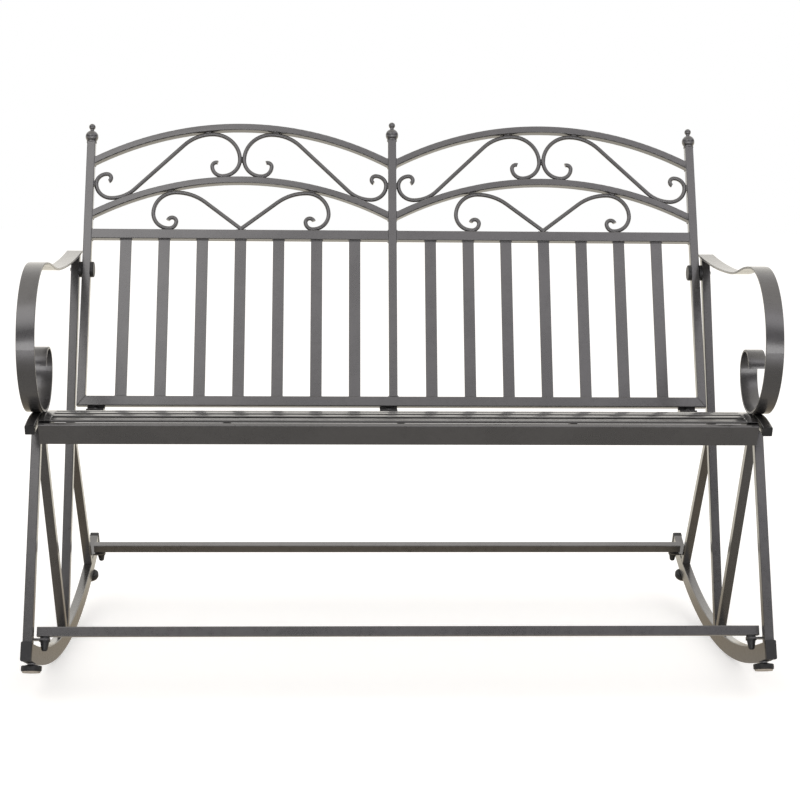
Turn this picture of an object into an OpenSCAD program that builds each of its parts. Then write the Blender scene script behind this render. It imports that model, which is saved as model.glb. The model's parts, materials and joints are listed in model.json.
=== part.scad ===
// Two-seat rocking garden bench, welded from square steel tube and bolted together:
// curved runners, leaning legs, a slatted seat, a slatted back with arches and scrolls,
// and flat-bar armrests that roll into scrolls at the front.
// X runs across the bench, +Y to the back, +Z up. The origin is on the floor, under the
// middle of the runners.

/* [Frame] */
// Width over the outer faces of the two side frames
frame_w = 1232; // [900:1:1500]
// Depth of the runners, from front cap to rear cap
runner_d = 806; // [780:2:840]
// Side of the square tube of the frame and the back posts
tube = 16; // [14:0.5:18]
// Wall of every tube
wall = 1.2; // [1:0.1:1.6]
// Outer corner radius of every tube
tube_r = 1.6; // [1:0.1:2]

/* [Runners] */
// Height of a runner's tube
runner_h = 30; // [26:1:34]
// Radius of the runners' underside
rocker_r = 970; // [900:10:1060]
// How far in front of the middle the runners touch the floor
touch_in = 22.5; // [0:0.5:40]
// Length of the head of a runner's end cap
cap_head = 8; // [5:0.5:12]
// How far a cap's head stands past its tube
cap_lip = 0.8; // [0:0.1:1.2]
// Corner radius of that head
cap_r = 2.4; // [1.6:0.1:3.2]
// Length of a cap's plug inside its tube
plug_len = 16; // [10:1:24]
// Clearance round a plug
plug_gap = 0.15; // [0.1:0.05:0.4]

/* [Stop feet] */
// Distance along the runner from its front end to a front foot
foot_in = 58; // [50:1:70]
// Distance along the runner from its rear end to a rear foot
rear_foot_in = 97; // [85:1:105]
// Diameter of a foot's disc
foot_d = 34; // [28:1:40]
// Thickness of a foot's disc
foot_t = 9.5; // [6:0.5:12]
// Diameter of the collar on top of the disc
collar_d = 20; // [16:1:24]
// Height of that collar
collar_t = 1; // [0.5:0.5:4]
// Diameter of a foot's pad
pad_d = 30; // [24:1:34]
// Thickness of a foot's pad
pad_t = 2.5; // [2:0.5:4]
// Diameter of a foot's stem
stem_d = 8; // [6:0.5:9]
// Length of the stem that is inside the runner
stem_in = 20; // [14:1:24]
// Length of the stem that shows under the runner's insert
stem_out = 0.8; // [0.6:0.1:3]
// Running clearance round a stem, on the radius
stem_gap = 0.06; // [0.04:0.01:0.1]
// Flange of a foot's insert, outside the runner
insert_flange = 1; // [0.8:0.1:1.5]
// Length of an insert inside the tube
insert_len = 10; // [6:1:14]

/* [Legs] */
// Lean of the front legs from upright
leg_lean = 19.8; // [17:0.2:21]
// Lean of the rear legs from upright
rear_lean = 17.4; // [16:0.2:19]
// Lean of the rear braces, forwards from upright
brace_lean = 33.4; // [28:0.2:38]
// Distance of a rear brace's foot from the runner's rear end
brace_in = 115; // [105:1:130]
// Gap on the runner between a front brace's foot and the rear leg's
brace_foot_gap = 1; // [0.5:0.5:30]

/* [Seat] */
// Height of the seat's crest
seat_h = 463; // [440:1:490]
// Distance of the seat's crest in front of the middle
crest_in = 249.5; // [240:0.5:258]
// Radius of the rolled front of the seat
seat_r = 240; // [200:5:300]
// Slope of the seat down towards the back
seat_slope = 7.4; // [6:0.1:8]
// Distance from the crest to the front rail's top edge
seat_front = 64; // [56:1:70]
// Distance from the crest to the seat's rear edge
seat_back = 355; // [340:1:362]
// Distance from the crest to the front end of a bearer
bearer_front = 79; // [74:1:90]
// Length of the head of a bearer's end cap
bearer_cap = 3; // [2:0.5:5]
// Gap between the seat frame and the side frames
seat_gap = 3; // [1:0.5:4]
// Width of the seat's side and rear rails
seat_rail_w = 20; // [16:1:24]
// Height of the front rail's face
apron_h = 39; // [34:1:44]
// Thickness of the front rail
apron_t = 8.5; // [7:0.5:10]
// Lean of the front rail's face, its foot to the back
apron_lean = 27; // [20:0.5:40]
// How far that face's top edge stands under the seat's curve
apron_drop = 5.3; // [3:0.1:7]
// Width of a seat slat
seat_slat_w = 12; // [8:0.5:14]
// Thickness of a seat slat
seat_slat_t = 4.5; // [3:0.5:6]
// Number of seat slats
seat_slats_n = 18; // [14:1:19]
// Distance from the front rail's top edge to the first slat's middle
first_slat = 14; // [13.5:0.5:20]
// Gap between the last slat and the rear rail
last_gap = 10; // [6:0.5:14]
// Width of a support under the slats
support_w = 12; // [8:1:24]
// Height of a support
support_h = 10; // [8:0.5:12]

/* [Armrests] */
// Width of the armrests' flat bar
arm_w = 30; // [24:1:36]
// Thickness of that bar
arm_t = 4; // [3:0.5:5]
// Gap between an armrest's rear end and the back post beside it
arm_post_gap = 2; // [1:0.5:4]
// How much further in an armrest's crest is than its rear end
arm_splay = 4.5; // [0:0.5:8]
// Radius of the top front of the scroll
arm_front_r = 134.5; // [125:0.5:145]
// Radius of the lower front of the scroll
arm_under_r = 114; // [105:0.5:120]
// Radius of the back of the curl
curl_back_r = 70; // [60:0.5:76]
// Radius of the top of the curl
curl_top_r = 36; // [30:0.5:42]
// Radius of the curl's tip
curl_tip_r = 30; // [22:0.5:30]
// Depth of the dip behind the crest
arm_dip = 16.5; // [14:0.5:26]
// Run from the crest to the bottom of the dip
dip_run = 160; // [150:1:190]
// Height of the rear end above the dip
arm_rise = 20.3; // [16:0.1:28]
// Length of the armrest's end behind the rear leg
arm_tail = 1; // [0:0.5:4]

/* [Back] */
// Depth of the bolts that hold the back, behind the middle
pivot_y = 190.5; // [186:0.5:196]
// Height of those bolts above the seat's crest
pivot_up = 217; // [205:1:230]
// Lean of the back from upright
back_lean = 21.06; // [20:0.1:22]
// Length of a back post below its bolt
post_low_len = 270; // [266:1:272]
// Length of the centre post from the bottom rail's underside to its finial
post_len = 538.5; // [530:0.5:560]
// Length of an outer post from its foot to its finial
side_post_len = 530; // [524:0.5:550]
// Gap between a rear leg and a back post
post_gap = 5; // [3:0.5:6]
// Height of the back's bottom and middle rails
rail_h = 19; // [16:1:24]
// Height of the middle rails' underside above the posts' feet
mid_t = 331.3; // [320:0.1:345]
// Number of slats in a panel of the back
panel_slats = 7; // [5:1:8]
// Width of a back slat
slat_w = 22; // [14:1:26]
// Thickness of a back slat
slat_t = 4; // [3:0.5:6]
// Clear space between a post and the slat next to it
slat_end_gap = 54.3; // [40:0.1:60]
// Height of the arches' tube, which is as deep as the posts
arch_h = 13; // [12:0.5:14]
// Height of a lower arch's ends, on top, above the posts' feet
low_arch_t = 389.5; // [387:0.5:392]
// Rise of a lower arch
low_arch_rise = 70.4; // [68:0.2:73]
// Height of an upper arch's ends, on top, above the posts' feet
up_arch_t = 498.8; // [496:0.2:502]
// Rise of an upper arch
up_arch_rise = 71.2; // [68:0.2:74]

/* [Scrolls] */
// Diameter of the scrolls' round bar
rod_d = 8; // [7:0.5:9]
// Gap between a scroll and what it is welded to
weld_gap = 0.1; // [0.05:0.05:0.2]
// Upper scroll: radius of the small curl's tip
tip_r = 8.2; // [7:0.2:10]
// Upper scroll: radius of the small curl's top
curl_r = 20; // [16:0.5:22]
// Upper scroll: radius of the small curl's outer foot
foot_r = 29.5; // [27:0.5:32]
// Upper scroll: radius of the bend from the curl into the slope
slope_low_r = 63; // [56:1:70]
// Upper scroll: radius of the bend from the slope into the loop
slope_up_r = 80; // [72:1:86]
// Upper scroll: radius of the loop's shoulder
loop_r = 53; // [50:0.5:56]
// Upper scroll: radius of the loop's inner side
loop_in_r = 20; // [16:0.5:22]
// Lower scroll: distance of its top from the panel's middle
low_top_u = 126.6; // [120:0.2:132]
// Lower scroll: radius of the bend at the end of the slope
low_slope_r = 92; // [84:1:96]
// Lower scroll: radius of its shoulder
low_loop_r = 43; // [40:0.5:46]
// Lower scroll: radius of its inner side
low_in_r = 14; // [12:0.5:16]

/* [Finials] */
// Diameter of the large ball
ball_d = 25; // [20:0.5:28]
// Diameter of the small ball
knob_d = 12.8; // [10:0.2:15]
// Diameter of the neck between them
neck_d = 7.4; // [6:0.2:9]
// Diameter of the collar on the post
ring_d = 19.6; // [16:0.2:22]
// Height of that collar
ring_t = 2.5; // [2:0.5:4]

/* [Stretchers] */
// Distance of the front stretcher from the runners' front end
front_stretcher_in = 53; // [51:0.5:60]
// Distance of the rear stretcher from the runners' rear end
rear_stretcher_in = 94; // [84:0.5:98]
// Distance of a bolt from the stretcher's end
bolt_in = 12.5; // [11:0.5:16]
// Height of a stretcher's tab above the runner
tab_up = 6.5; // [3:0.5:8]
// Thickness of a tab
tab_t = 3; // [2:0.5:4]
// How far a tab reaches across the leg or brace that holds it
tab_reach = 12; // [8:0.5:14]
// Diameter of the tab's end, spacer and cap flange
tab_d = 18; // [16:0.5:20]
// Thickness of the spacer between tab and stretcher
spacer_t = 3; // [2:0.5:4]
// Height of the bolt's cap
bolt_cap_h = 17.4; // [14:0.2:20]

/* [Fasteners] */
// Diameter of the bolts
bolt_d = 6; // [5:0.5:6]
// Clearance round a bolt in its holes, on the radius
bolt_gap = 0.2; // [0.1:0.05:0.3]
// Diameter of a button head
head_d = 10; // [9:0.5:10.5]
// Height of a button head
head_t = 2; // [1.5:0.5:3]
// Width of a nut over its corners
nut_d = 11; // [10.5:0.5:13]
// Height of a nut's hexagon
nut_t = 4.5; // [4:0.5:5]
// Distances of the seat's bolts behind the crest
seat_bolt_a = 70; // [60:1:90]
// Distance of the rear seat bolt behind the crest
seat_bolt_b = 310; // [290:1:320]
// Diameter of the discs at the back's bolts
disc_d = 30; // [24:1:34]
// How far the closed caps over the back's nuts stand past those nuts
nut_cap_over = 2; // [1.5:0.5:4]
// Width of a bracket under the back
bracket_w = 33; // [26:1:40]
// Thickness of a bracket's plate
bracket_t = 3; // [2:0.5:3]
// Height of a bracket behind the bottom rail
bracket_h = 14; // [10:1:18]
// Distance of a bracket's bolt in front of the middle of the seat's rear rail
bracket_bolt_in = 2.5; // [1.5:0.5:4]
// Distance of the outer brackets from the outer posts' middles
bracket_in = 27; // [26:0.5:40]
// Distance of the middle bracket from the bench's middle
bracket_mid = 9; // [0:0.5:20]

/* [Hidden] */
$fn = 64;
fine = 720;
eps = 0.01;
far = 200;

frame_grey = [0.43, 0.42, 0.43];
black_part = [0.13, 0.13, 0.13];
pad_grey = [0.62, 0.58, 0.53];
steel = [0.55, 0.55, 0.56];

// Places across the bench
inner_x = frame_w / 2 - tube;
side_x = frame_w / 2 - tube / 2;
seat_x = inner_x - seat_gap;
seat_rail_x = seat_x - seat_rail_w / 2;
slat_x = seat_x - seat_rail_w;
post_x = inner_x - post_gap - tube / 2;
arm_x = post_x + tube / 2 + arm_post_gap + arm_w / 2 - arm_splay;
panel_x = post_x / 2;
panel_half = post_x / 2 - tube / 2;
bolt_r = bolt_d / 2;
hole_r = bolt_r + bolt_gap;
rod_r = rod_d / 2;

// Runner arcs, whose centre is above the point that touches the floor
touch_y = -touch_in;
runner_top_r = rocker_r - runner_h;
runner_mid_r = rocker_r - runner_h / 2;
front_a = asin((runner_d / 2 + touch_y) / rocker_r);
rear_a = asin((runner_d / 2 - touch_y) / rocker_r);
cap_a = cap_head / runner_mid_r * 180 / PI;
plug_a = plug_len / runner_mid_r * 180 / PI;
foot_a = foot_in / rocker_r * 180 / PI;
rear_foot_a = rear_foot_in / rocker_r * 180 / PI;
tube_front_a = front_a - cap_a;
tube_rear_a = rear_a - cap_a;

// A point is [depth, height] in the side plane, and a lean is an angle back from upright
function along(p, lean, s) = p + s * [sin(lean), cos(lean)];
function across(p, lean, s) = p + s * [cos(lean), -sin(lean)];
function reach(p, lean_p, q, lean_q) = let (w = q - p)
    (w[0] * cos(lean_q) - w[1] * sin(lean_q)) / sin(lean_p - lean_q);
function runner_top(y) = rocker_r - sqrt(pow(runner_top_r, 2) - pow(y - touch_y, 2));

// Seat surface, a rolled front and then a straight slope
crest_y = -crest_in;
seat_c = [crest_y, seat_h - seat_r];
slope_y = crest_y + seat_r * sin(seat_slope);
slope_z = seat_c[1] + seat_r * cos(seat_slope);
function seat_tilt(y) = y < slope_y ? asin((y - crest_y) / seat_r) : seat_slope;
function seat_z(y) = y < slope_y ? seat_c[1] + sqrt(pow(seat_r, 2) - pow(y - crest_y, 2))
    : slope_z - tan(seat_slope) * (y - slope_y);
function under_seat(y, d) = [y - d * sin(seat_tilt(y)), seat_z(y) - d * cos(seat_tilt(y))];

// Legs and braces of a side frame
pivot_z = seat_h + pivot_up;
pivot = [pivot_y, pivot_z];
front_foot = [touch_y - runner_top_r * sin(tube_front_a), rocker_r - runner_top_r * cos(tube_front_a)];
leg_base = across(front_foot, leg_lean, tube / 2);
under_bearer = seat_h - tube;
leg_back = across(front_foot, leg_lean, tube);
brace_head = along(leg_back, leg_lean, (under_bearer - leg_back[1]) / cos(leg_lean));
rear_front = across(pivot, rear_lean, -tube / 2);
rear_toe = along(rear_front, rear_lean, -(rear_front[1] - runner_h) / cos(rear_lean));
brace_heel = rear_toe - [brace_foot_gap, 0];
brace_run = brace_heel - brace_head;
front_brace_lean = asin(tube / norm(brace_run)) - atan2(brace_run[0], -brace_run[1]);
brace_y = runner_d / 2 - brace_in;
rear_brace_toe = [brace_y, runner_top(brace_y)];

// Armrest, whose scroll stands on the seat bearer's crest
arm_crest = [crest_y + arm_front_r - arm_under_r, seat_h + arm_front_r + arm_under_r];
dip_y = arm_crest[0] + dip_run;
dip_z = arm_crest[1] - arm_dip;
dip_r = (pow(dip_run / 2, 2) + pow(arm_dip / 2, 2)) / arm_dip;
dip_a = 2 * atan(arm_dip / dip_run);
arm_end_y = across(along(pivot, rear_lean, (dip_z + arm_rise - pivot_z) / cos(rear_lean)),
    rear_lean, tube / 2)[0] + arm_tail;
arm_run = arm_end_y - dip_y;
arm_rear_r = (pow(arm_run, 2) + pow(arm_rise, 2)) / (2 * arm_rise);
rise_a = asin(arm_run / arm_rear_r);
splay_a = asin(arm_splay / (arm_end_y - arm_crest[0]));

// Back, whose own plane starts at the posts' feet
back_base = along(pivot, back_lean, -post_low_len);
low_arch_r = (pow(panel_half, 2) + pow(low_arch_rise, 2)) / (2 * low_arch_rise);
up_arch_r = (pow(panel_half, 2) + pow(up_arch_rise, 2)) / (2 * up_arch_rise);
low_arch_c = low_arch_t + low_arch_rise - low_arch_r;
up_arch_c = up_arch_t + up_arch_rise - up_arch_r;
mid_top = mid_t + rail_h;
slat_pitch = (2 * (panel_half - slat_end_gap) - slat_w) / (panel_slats - 1);

// Upper scroll, from its touch on the post to its touch on its twin at the panel's middle
touch = rod_r + weld_gap;
up_left = -panel_half + touch;
up_foot = up_left + foot_r;
up_foot_t = low_arch_c - slope_low_r
    + sqrt(pow(low_arch_r + slope_low_r + touch, 2) - pow(up_foot, 2));
up_right = -touch;
up_top = up_right - loop_r;
up_top_t = up_arch_c + slope_up_r
    + sqrt(pow(up_arch_r - arch_h - slope_up_r - touch, 2) - pow(up_top, 2));
slope_run = up_top - up_foot;
slope_rise = (up_top_t - slope_up_r) - (up_foot_t + slope_low_r);
slope_bends = slope_low_r + slope_up_r;
slope_len = sqrt(pow(slope_run, 2) + pow(slope_rise, 2) - pow(slope_bends, 2));
slope_a = atan2(slope_rise, slope_run) + atan2(slope_bends, slope_len);
loop_side_t = up_top_t - loop_r;
loop_reach = loop_side_t - low_arch_c;
arch_reach = low_arch_r + touch;
loop_low_r = (pow(up_right, 2) + pow(loop_reach, 2) - pow(arch_reach, 2)) / (2 * (arch_reach + up_right));

// Lower scroll, from the middle of the panel on the middle rail
low_start_t = mid_top + rod_r;
low_top_t = low_arch_c + low_loop_r
    + sqrt(pow(low_arch_r - arch_h - low_loop_r - touch, 2) - pow(low_top_u, 2));
low_drop = low_top_t - low_slope_r - low_start_t;
low_slope_len = sqrt(pow(low_top_u, 2) + pow(low_drop, 2) - pow(low_slope_r, 2));
low_slope_a = atan2(low_drop, low_top_u) + atan2(low_slope_r, low_slope_len);
low_foot_r = low_top_t - low_loop_r - mid_top - touch;

// Stretchers and their bolts, with heights above the runner's top along its radius
front_stretcher_y = -runner_d / 2 + front_stretcher_in;
rear_stretcher_y = runner_d / 2 - rear_stretcher_in;
stretcher_bolt_x = seat_x - bolt_in;
tab_top = tab_up + tab_t;
stretcher_under = tab_top + spacer_t;
stretcher_r = runner_top_r - stretcher_under - tube / 2;

// Closed caps over the back's nuts, and their end wall
nut_cap_t = nut_t + nut_cap_over;
nut_cap_wall = 1.2;

// Middle of the seat's rear rail
seat_end_y = crest_y + seat_back;
rear_rail_mid = seat_end_y - seat_rail_w / 2 * cos(seat_slope);

// Flat shape with rounded corners
module rounded(w, h, r) {
    square([w - 2 * r, h], center = true);
    square([w, h - 2 * r], center = true);
    for (x = [-1, 1], y = [-1, 1])
        translate([x * (w / 2 - r), y * (h / 2 - r)]) circle(r = r, $fn = 32);
}

// Section of a tube, or of its outer shape alone
module section(w, h, open = true) {
    difference() {
        rounded(w, h, tube_r);
        if (open) square([w - 2 * wall, h - 2 * wall], center = true);
    }
}

// Path of bends [radius, angle] and straights [0, length] along +Y, with a section as child.
// Every second piece is a hair thicker and takes the ends of its neighbours in.
module path(steps, i = 0, odd = 0) {
    if (i < len(steps)) {
        r = steps[i][0];
        a = steps[i][1];
        s = sign(a);
        thick = (i + odd) % 2;
        lap = 0.05 * (1 - thick);
        size = 1 + 0.003 * thick;
        if (r == 0) {
            translate([0, -lap, 0]) rotate([-90, 0, 0]) linear_extrude(a + 2 * lap) scale(size) children();
            translate([0, a, 0]) path(steps, i + 1, odd) children();
        } else {
            lap_a = lap / r * 180 / PI;
            translate([-s * r, 0, 0]) {
                rotate([0, 0, s > 0 ? -lap_a : 180 + a - lap_a])
                    rotate_extrude(angle = abs(a) + 2 * lap_a, $fn = r > 150 ? fine : 96)
                        translate([r, 0]) scale(size) children();
                rotate([0, 0, a]) translate([s * r, 0, 0]) path(steps, i + 1, odd) children();
            }
        }
    }
}

// Stands a drawing of the side plane up, with its middle at x
module side_plane(x) {
    translate([x, 0, 0]) rotate([90, 0, 90]) children();
}

// Mirrors a right-hand piece to the left for a side of -1
module on_side(side) {
    if (side < 0) mirror([1, 0, 0]) children();
    else children();
}

// Straight tube in the side plane from a point, with a lean and a length
module bar(p, lean, length, open = true) {
    translate(p) rotate(-lean) rotate([-90, 0, 0]) linear_extrude(length) section(tube, tube, open);
}

// Turns about the runners' arc centre, with the radius outwards as local X
module at_runner(a, r = 0) {
    translate([touch_y, rocker_r]) rotate(270 + a) translate([r, 0]) children();
}

// Cylinder along local X
module rod_x(r, h) {
    rotate([0, 90, 0]) cylinder(r = r, h = h);
}

module runner_tube(open = true) {
    at_runner(-tube_front_a)
        rotate_extrude(angle = tube_front_a + tube_rear_a, $fn = fine)
            translate([runner_mid_r, 0]) section(runner_h, tube, open);
}

module runner(side) {
    color(frame_grey) on_side(side) side_plane(side_x) difference() {
        runner_tube();
        for (a = foot_angles()) at_runner(a, rocker_r - 2 * wall) rod_x(insert_r, 4 * wall);
    }
}

function foot_angles() = [-front_a + foot_a, rear_a - rear_foot_a];
insert_r = stem_d / 2 + 1.5;

// Insert pressed into the runner's lower wall, which holds a foot's stem
module foot_inserts() {
    color(steel) for (side = [-1, 1], a = foot_angles()) on_side(side) side_plane(side_x)
        at_runner(a, rocker_r) difference() {
            union() {
                translate([-insert_len, 0, 0]) rod_x(insert_r, insert_len + eps);
                rod_x(insert_r + 1.5, insert_flange);
            }
            translate([-insert_len - 1, 0, 0]) rod_x(stem_d / 2 + stem_gap, insert_len + insert_flange + 2);
        }
}

// Heads and plugs of the caps that close the runners
module runner_end_caps() {
    seat_a = cap_a / 2;
    color(black_part) for (side = [-1, 1]) on_side(side) side_plane(side_x)
        for (end = [[-front_a, -tube_front_a - seat_a], [tube_rear_a, tube_rear_a - plug_a]]) {
            at_runner(end[0]) rotate_extrude(angle = cap_a, $fn = fine)
                translate([runner_mid_r, 0]) rounded(runner_h + 2 * cap_lip, tube + 2 * cap_lip, cap_r);
            at_runner(end[1]) rotate_extrude(angle = plug_a + seat_a, $fn = fine) translate([runner_mid_r, 0])
                square([runner_h - 2 * wall - 2 * plug_gap, tube - 2 * wall - 2 * plug_gap], center = true);
        }
}

// Stop foot: stem, collar and disc, turned about the stem
module foot(side, a) {
    r = foot_d / 2;
    rim = 2;
    color(black_part) on_side(side) side_plane(side_x) at_runner(a, rocker_r + insert_flange)
        rotate([0, 90, 0]) {
            translate([0, 0, -stem_in - insert_flange])
                cylinder(d = stem_d, h = stem_in + insert_flange + stem_out + eps);
            translate([0, 0, stem_out]) cylinder(d = collar_d, h = collar_t + eps);
            translate([0, 0, stem_out + collar_t]) rotate_extrude() {
                square([r - rim, foot_t]);
                translate([0, rim]) square([r, foot_t - 2 * rim]);
                for (z = [rim, foot_t - rim]) translate([r - rim, z]) circle(r = rim, $fn = 32);
            }
        }
}

// Pad glued under a foot's disc
module pad(side, a) {
    edge = 1;
    color(pad_grey) on_side(side) side_plane(side_x)
        at_runner(a, rocker_r + insert_flange + stem_out + collar_t + foot_t)
            rotate([0, 90, 0]) rotate_extrude() {
                square([pad_d / 2, pad_t - edge]);
                square([pad_d / 2 - edge, pad_t]);
                translate([pad_d / 2 - edge, pad_t - edge]) circle(r = edge, $fn = 32);
            }
}

// Parts of the side plane, for cutting tubes: a round of it, and all on one side of a line
module disc_at(p, r, thick = 2 * tube) {
    translate([p[0], p[1], -thick]) cylinder(r = r, h = 2 * thick, $fn = fine);
}

module behind(p, lean) {
    translate(p) rotate(-lean) translate([0, -5 * far, -tube]) cube([5 * far, 10 * far, 2 * tube]);
}

module ahead_of(p, lean) {
    translate(p) rotate(-lean) translate([-5 * far, -5 * far, -tube]) cube([5 * far, 10 * far, 2 * tube]);
}

// All above the bearer's underside near its crest
module above_bearer() {
    difference() {
        translate([crest_y - far, seat_h - far / 2, -tube]) cube([2 * far, far, 2 * tube]);
        disc_at(seat_c, seat_r - tube);
    }
}

module front_leg(side) {
    low = runner_h * 0.6;
    color(frame_grey) on_side(side) side_plane(side_x) difference() {
        intersection() {
            bar(along(leg_base, leg_lean, -low), leg_lean, low + (seat_h - leg_base[1]) / cos(leg_lean));
            disc_at([touch_y, rocker_r], runner_top_r);
        }
        above_bearer();
    }
}

module front_brace(side) {
    toe = across(brace_heel, front_brace_lean, -tube / 2);
    low = runner_h * 0.6;
    color(frame_grey) on_side(side) side_plane(side_x) difference() {
        intersection() {
            bar(along(toe, front_brace_lean, -low), front_brace_lean,
                low + (seat_h + tube - toe[1]) / cos(front_brace_lean));
            disc_at([touch_y, rocker_r], runner_top_r);
        }
        above_bearer();
        ahead_of(leg_back, leg_lean);
    }
}

module rear_leg(side) {
    low = pivot_z / cos(rear_lean);
    color(frame_grey) on_side(side) side_plane(side_x) difference() {
        intersection() {
            bar(along(pivot, rear_lean, -low), rear_lean, low + arm_crest[1] + tube - pivot_z);
            disc_at([touch_y, rocker_r], runner_top_r);
        }
        disc_at([dip_y, dip_z + arm_rear_r], arm_rear_r + arm_t + weld_gap);
        translate(concat(pivot, [-tube])) cylinder(r = hole_r, h = 2 * tube);
    }
}

module rear_brace(side) {
    toe = across(rear_brace_toe, -brace_lean, tube / 2);
    low = runner_h * 0.6;
    color(frame_grey) on_side(side) side_plane(side_x) difference() {
        intersection() {
            bar(along(toe, -brace_lean, -low), -brace_lean,
                low + tube + reach(toe, -brace_lean, pivot, rear_lean));
            disc_at([touch_y, rocker_r], runner_top_r);
        }
        ahead_of(across(pivot, rear_lean, tube / 2), rear_lean);
    }
}

function seat_bolt_at(d) = under_seat(crest_y + d, tube / 2);

module seat_bolt_holes() {
    for (d = [seat_bolt_a, seat_bolt_b])
        translate(concat(seat_bolt_at(d), [-far / 2])) cylinder(r = hole_r, h = far);
}

module seat_bearer(side) {
    r = seat_r - tube / 2;
    front = asin((bearer_front - bearer_cap) / seat_r);
    end = reach([slope_y, slope_z], 90 + seat_slope, rear_front, rear_lean) + tube;
    color(frame_grey) on_side(side) side_plane(side_x) difference() {
        translate(seat_c) rotate(90 + front) translate([r, 0]) mirror([0, 1, 0]) mirror([1, 0, 0])
            path([[r, -front - seat_slope], [0, end]], odd = 1) section(tube, tube);
        behind(rear_front, rear_lean);
        seat_bolt_holes();
    }
}

// Caps in the front ends of the seat bearers
module bearer_end_caps() {
    r = seat_r - tube / 2;
    a = asin((bearer_front - bearer_cap) / seat_r);
    head = bearer_cap / r * 180 / PI;
    plug = plug_len / r * 180 / PI;
    color(black_part) for (side = [-1, 1]) on_side(side) side_plane(side_x) translate(seat_c) {
        rotate(90 + a) rotate_extrude(angle = head, $fn = fine) translate([r, 0]) rounded(tube, tube, tube_r);
        rotate(90 + a - plug) rotate_extrude(angle = plug + head / 2, $fn = fine) translate([r, 0])
            square(tube - 2 * wall - 2 * plug_gap, center = true);
    }
}

// Flat bar that runs from the rear leg over the crest and rolls up at the front
module armrest(side) {
    t = arm_t / 2;
    scroll = [arm_front_r, arm_under_r, curl_back_r, curl_top_r, curl_tip_r];
    color(frame_grey) on_side(side) translate([arm_x, arm_crest[0], 0]) rotate([0, 0, -splay_a])
        side_plane(0) translate([0, arm_crest[1] - t]) {
            rotate(90) path([for (r = scroll) [r - t, 90]]) rounded(arm_t, arm_w, 1);
            rotate(-90) path([[dip_r - t, -dip_a], [dip_r + t, dip_a], [arm_rear_r + t, rise_a]], odd = 1)
                rounded(arm_t, arm_w, 1);
        }
}

// Tube across the bench, centred on a point of the side plane
module cross_tube(p, half, w, h, tilt = 0) {
    translate([-half, p[0], p[1]]) rotate([90, 0, 90]) linear_extrude(2 * half)
        rotate(-tilt) section(w, h);
}

// Place on the runner's top under a stretcher, with the runner's radius as Z
module at_stretcher(y) {
    translate([0, touch_y, rocker_r]) rotate([asin((y - touch_y) / stretcher_r), 0, 0])
        translate([0, 0, -runner_top_r]) children();
}

module stretcher(y) {
    color(frame_grey) at_stretcher(y) difference() {
        cross_tube([0, stretcher_under + tube / 2], seat_x, tube, tube);
        for (side = [-1, 1]) translate([side * stretcher_bolt_x, 0, stretcher_under - 1])
            cylinder(r = bolt_r + 1.5, h = 1 + 2 * wall);
    }
}

module at_stretcher_bolts() {
    for (side = [-1, 1], y = [front_stretcher_y, rear_stretcher_y])
        at_stretcher(y) translate([side * stretcher_bolt_x, 0, 0]) children();
}

// Tabs under the stretchers' ends, welded behind the front legs and the rear braces
module stretcher_tabs() {
    in = inner_x - stretcher_bolt_x;
    color(frame_grey) for (side = [-1, 1], end = [-1, 1]) on_side(side) difference() {
        at_stretcher(end < 0 ? front_stretcher_y : rear_stretcher_y)
            translate([stretcher_bolt_x, 0, tab_up]) difference() {
                union() {
                    cylinder(d = tab_d, h = tab_t);
                    translate([0, -tab_d / 2, 0]) cube([in + tab_reach, tab_d, tab_t]);
                    translate([in, -far / 2, 0]) cube([tab_reach, far / 2, tab_t]);
                }
                translate([0, 0, -1]) cylinder(r = hole_r, h = tab_t + 2);
            }
        side_plane(side_x) {
            if (end < 0) ahead_of(leg_back, leg_lean);
            else ahead_of(across(rear_brace_toe, -brace_lean, tube), -brace_lean);
        }
    }
}

module stretcher_spacers() {
    color(black_part) at_stretcher_bolts() translate([0, 0, tab_top]) difference() {
        cylinder(d = tube, h = spacer_t);
        translate([0, 0, -1]) cylinder(r = hole_r, h = spacer_t + 2);
    }
}

module stretcher_bolts() {
    color(steel) at_stretcher_bolts() {
        translate([0, 0, tab_up - 4]) cylinder(d = nut_d, h = 4, $fn = 6);
        translate([0, 0, tab_up - eps]) cylinder(r = bolt_r, h = tab_t + spacer_t + 12);
    }
}

// Threaded inserts in the stretchers' lower walls
module stretcher_inserts() {
    color(steel) at_stretcher_bolts() translate([0, 0, stretcher_under]) difference() {
        cylinder(r = bolt_r + 1.5, h = 10);
        translate([0, 0, -1]) cylinder(r = bolt_r + 0.05, h = 12);
    }
}

// Tapered caps over the heads of the stretchers' bolts
module stretcher_bolt_caps() {
    flange = 2;
    top_r = 7.4;
    low_r = 4.6;
    round_r = 1.6;
    pocket_r = nut_d / 2 + 0.4;
    color(black_part) at_stretcher_bolts() translate([0, 0, tab_up]) rotate([180, 0, 0])
        difference() {
            union() {
                cylinder(d = tab_d, h = flange);
                translate([0, 0, flange]) cylinder(r1 = top_r, r2 = low_r, h = bolt_cap_h - flange);
            }
            translate([0, 0, -1]) cylinder(r = pocket_r, h = 5.2);
            translate([0, 0, bolt_cap_h - round_r]) difference() {
                cylinder(r = top_r, h = round_r + 1);
                translate([0, 0, -1]) cylinder(r1 = low_r + 0.7, r2 = low_r - round_r, h = round_r + 1);
            }
        }
}

// Front rail of the seat, its face leaning so that its foot is further back
apron_edge = [crest_y - seat_front, seat_z(crest_y - seat_front) - apron_drop];

module in_apron() {
    translate([0, apron_edge[0], apron_edge[1]]) rotate([apron_lean, 0, 0]) children();
}

// All that is in front of the front rail's rear face
module before_apron() {
    in_apron() translate([-frame_w, apron_t - far, -far / 2]) cube([2 * frame_w, far, far]);
}

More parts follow.
